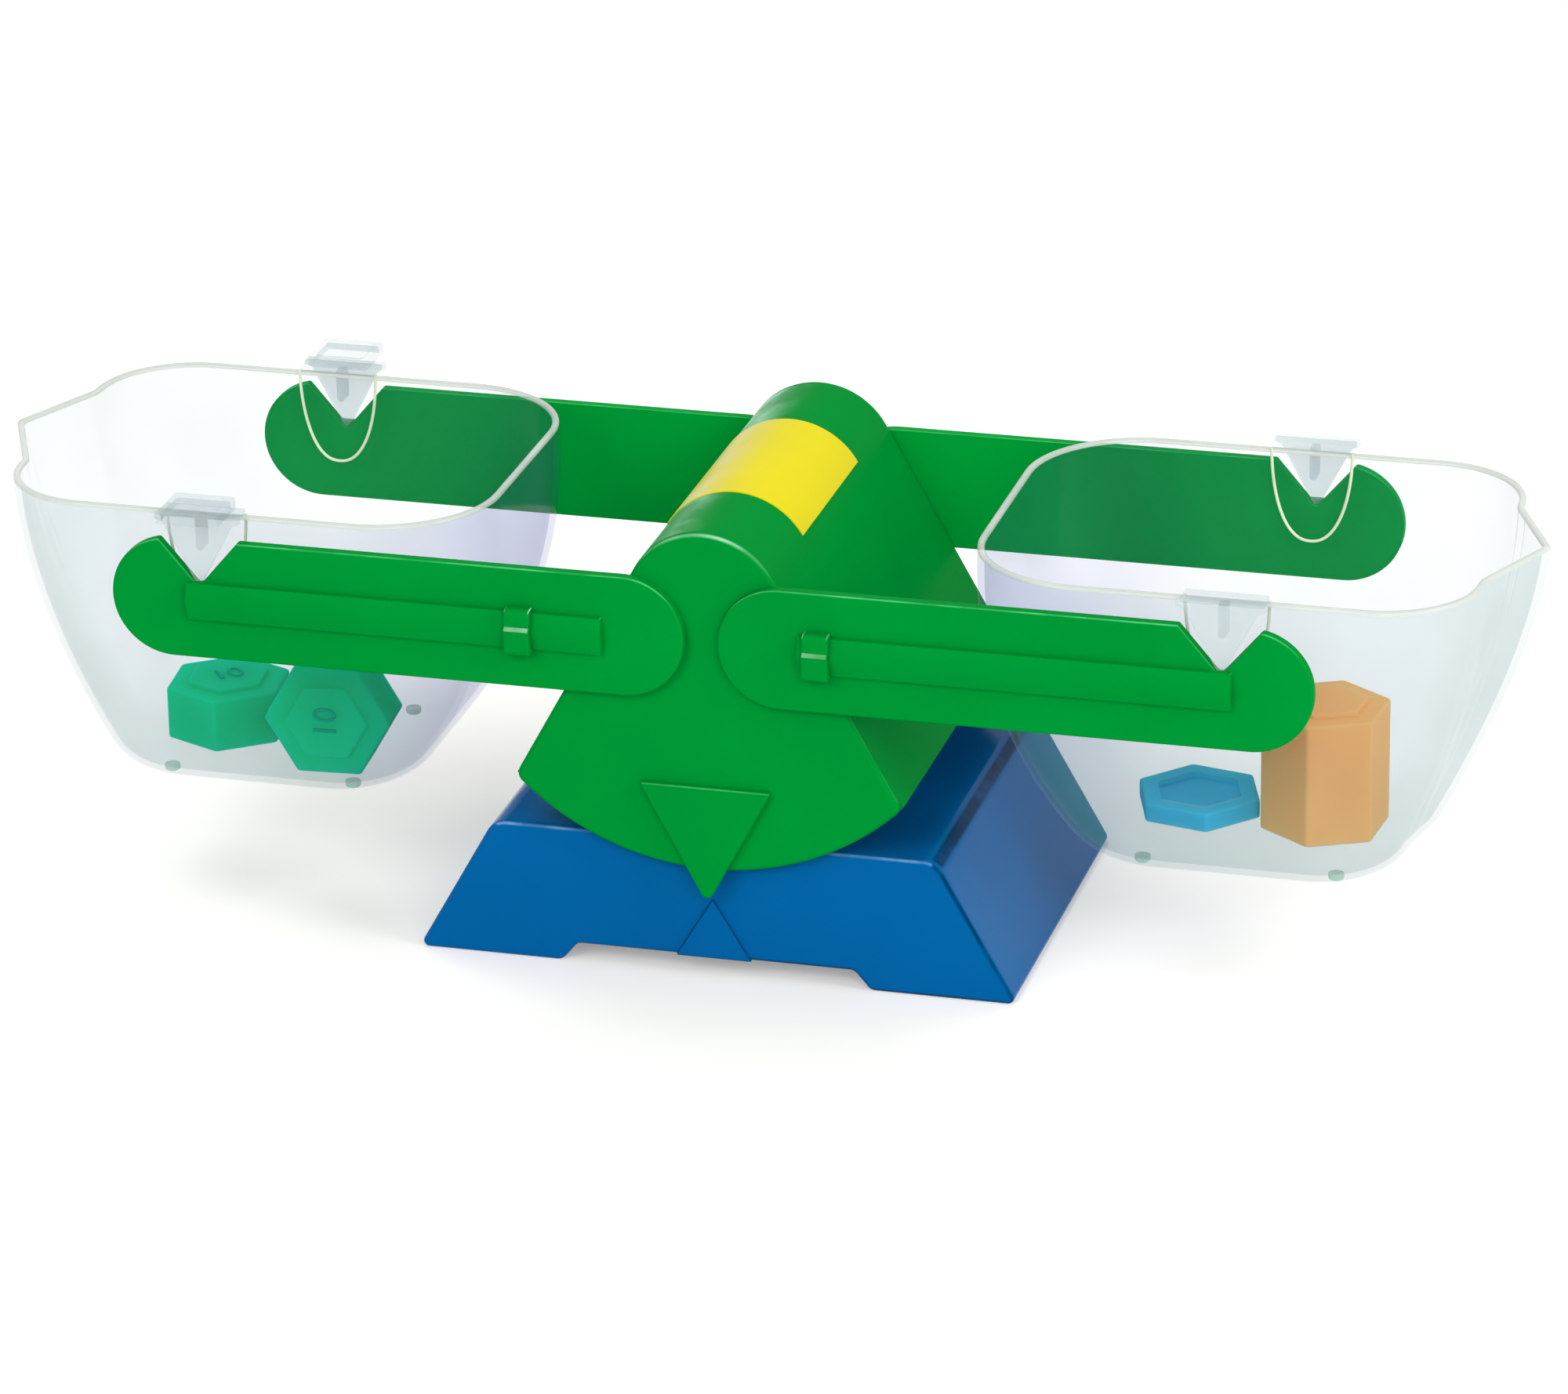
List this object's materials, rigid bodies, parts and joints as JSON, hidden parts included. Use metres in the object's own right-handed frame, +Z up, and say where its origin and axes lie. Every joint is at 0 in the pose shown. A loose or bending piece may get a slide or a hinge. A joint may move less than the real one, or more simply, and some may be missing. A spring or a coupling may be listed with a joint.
{
  "type": "bucket balance",
  "caption": "Table-top bucket balance: a rocking hood on a wedge base carries paired arms, hanging clear buckets, sliding trim clips, a pointer and hexagonal stacking weights.",
  "frame": {"origin": "middle of the base's resting face, on the table", "axes": "+X along the beam to the right bucket, +Y from the front face with the pointer to the back, +Z up"},
  "size_m": [0.3994, 0.1324, 0.1203],
  "materials": {
    "green_plastic": "smooth glossy moulding",
    "blue_plastic": "smooth glossy moulding",
    "clear_plastic": "clear, glossy",
    "yellow_label": "plain gloss film",
    "ivory_plastic": "matt bearing plastic",
    "steel": "plain bright steel",
    "teal_plastic": "smooth moulding",
    "sky_plastic": "smooth moulding",
    "orange_plastic": "smooth moulding"
  },
  "bodies": {
    "base": {"base_shell": "blue_plastic", "front_post": "blue_plastic", "rear_post": "blue_plastic", "front_bush": "ivory_plastic", "rear_bush": "ivory_plastic", "post_screws": "steel"},
    "beam": {"rocker_hood": "green_plastic", "pivot_axle": "steel", "axle_clips": "steel", "pointer": "green_plastic", "label": "yellow_label", "front_left_arm": "green_plastic", "front_right_arm": "green_plastic", "rear_left_arm": "green_plastic", "rear_right_arm": "green_plastic"},
    "left_slider": {"left_slider": "green_plastic"},
    "right_slider": {"right_slider": "green_plastic"},
    "left_bucket": {"left_bucket": "clear_plastic", "left_front_hanger": "clear_plastic", "left_rear_hanger": "clear_plastic", "left_front_cap": "clear_plastic", "left_rear_cap": "clear_plastic"},
    "right_bucket": {"right_bucket": "clear_plastic", "right_front_hanger": "clear_plastic", "right_rear_hanger": "clear_plastic"},
    "upright_weight": {"upright_weight": "teal_plastic"},
    "lying_weight": {"lying_weight": "teal_plastic"},
    "thin_weight": {"thin_weight": "sky_plastic"},
    "tall_weight": {"tall_weight": "orange_plastic"}
  },
  "joints": [
    {"name": "beam_rock", "type": "hinge", "parent": "base", "child": "beam", "pos_m": [0, 0, 0.1], "axis": [0, 1, 0], "range_deg": [-10, 10]},
    {"name": "left_bucket_swing", "type": "hinge", "parent": "beam", "child": "left_bucket", "pos_m": [-0.13, 0, 0.0979], "axis": [0, -1, 0], "range_deg": [-12, 12]},
    {"name": "right_bucket_swing", "type": "hinge", "parent": "beam", "child": "right_bucket", "pos_m": [0.13, 0, 0.0979], "axis": [0, -1, 0], "range_deg": [-12, 12]},
    {"name": "left_slider_slide", "type": "slide", "parent": "beam", "child": "left_slider", "axis": [1, 0, 0], "range_m": [-0.082, 0.016]},
    {"name": "right_slider_slide", "type": "slide", "parent": "beam", "child": "right_slider", "axis": [1, 0, 0], "range_m": [0, 0.098]},
    {"name": "upright_weight_lift", "type": "slide", "parent": "left_bucket", "child": "upright_weight", "axis": [0, 0, 1], "range_m": [0, 0.1]},
    {"name": "lying_weight_lift", "type": "slide", "parent": "left_bucket", "child": "lying_weight", "axis": [0, 0, 1], "range_m": [0, 0.1]},
    {"name": "thin_weight_lift", "type": "slide", "parent": "right_bucket", "child": "thin_weight", "axis": [0, 0, 1], "range_m": [0, 0.1]},
    {"name": "tall_weight_lift", "type": "slide", "parent": "right_bucket", "child": "tall_weight", "axis": [0, 0, 1], "range_m": [0, 0.1]}
  ]
}
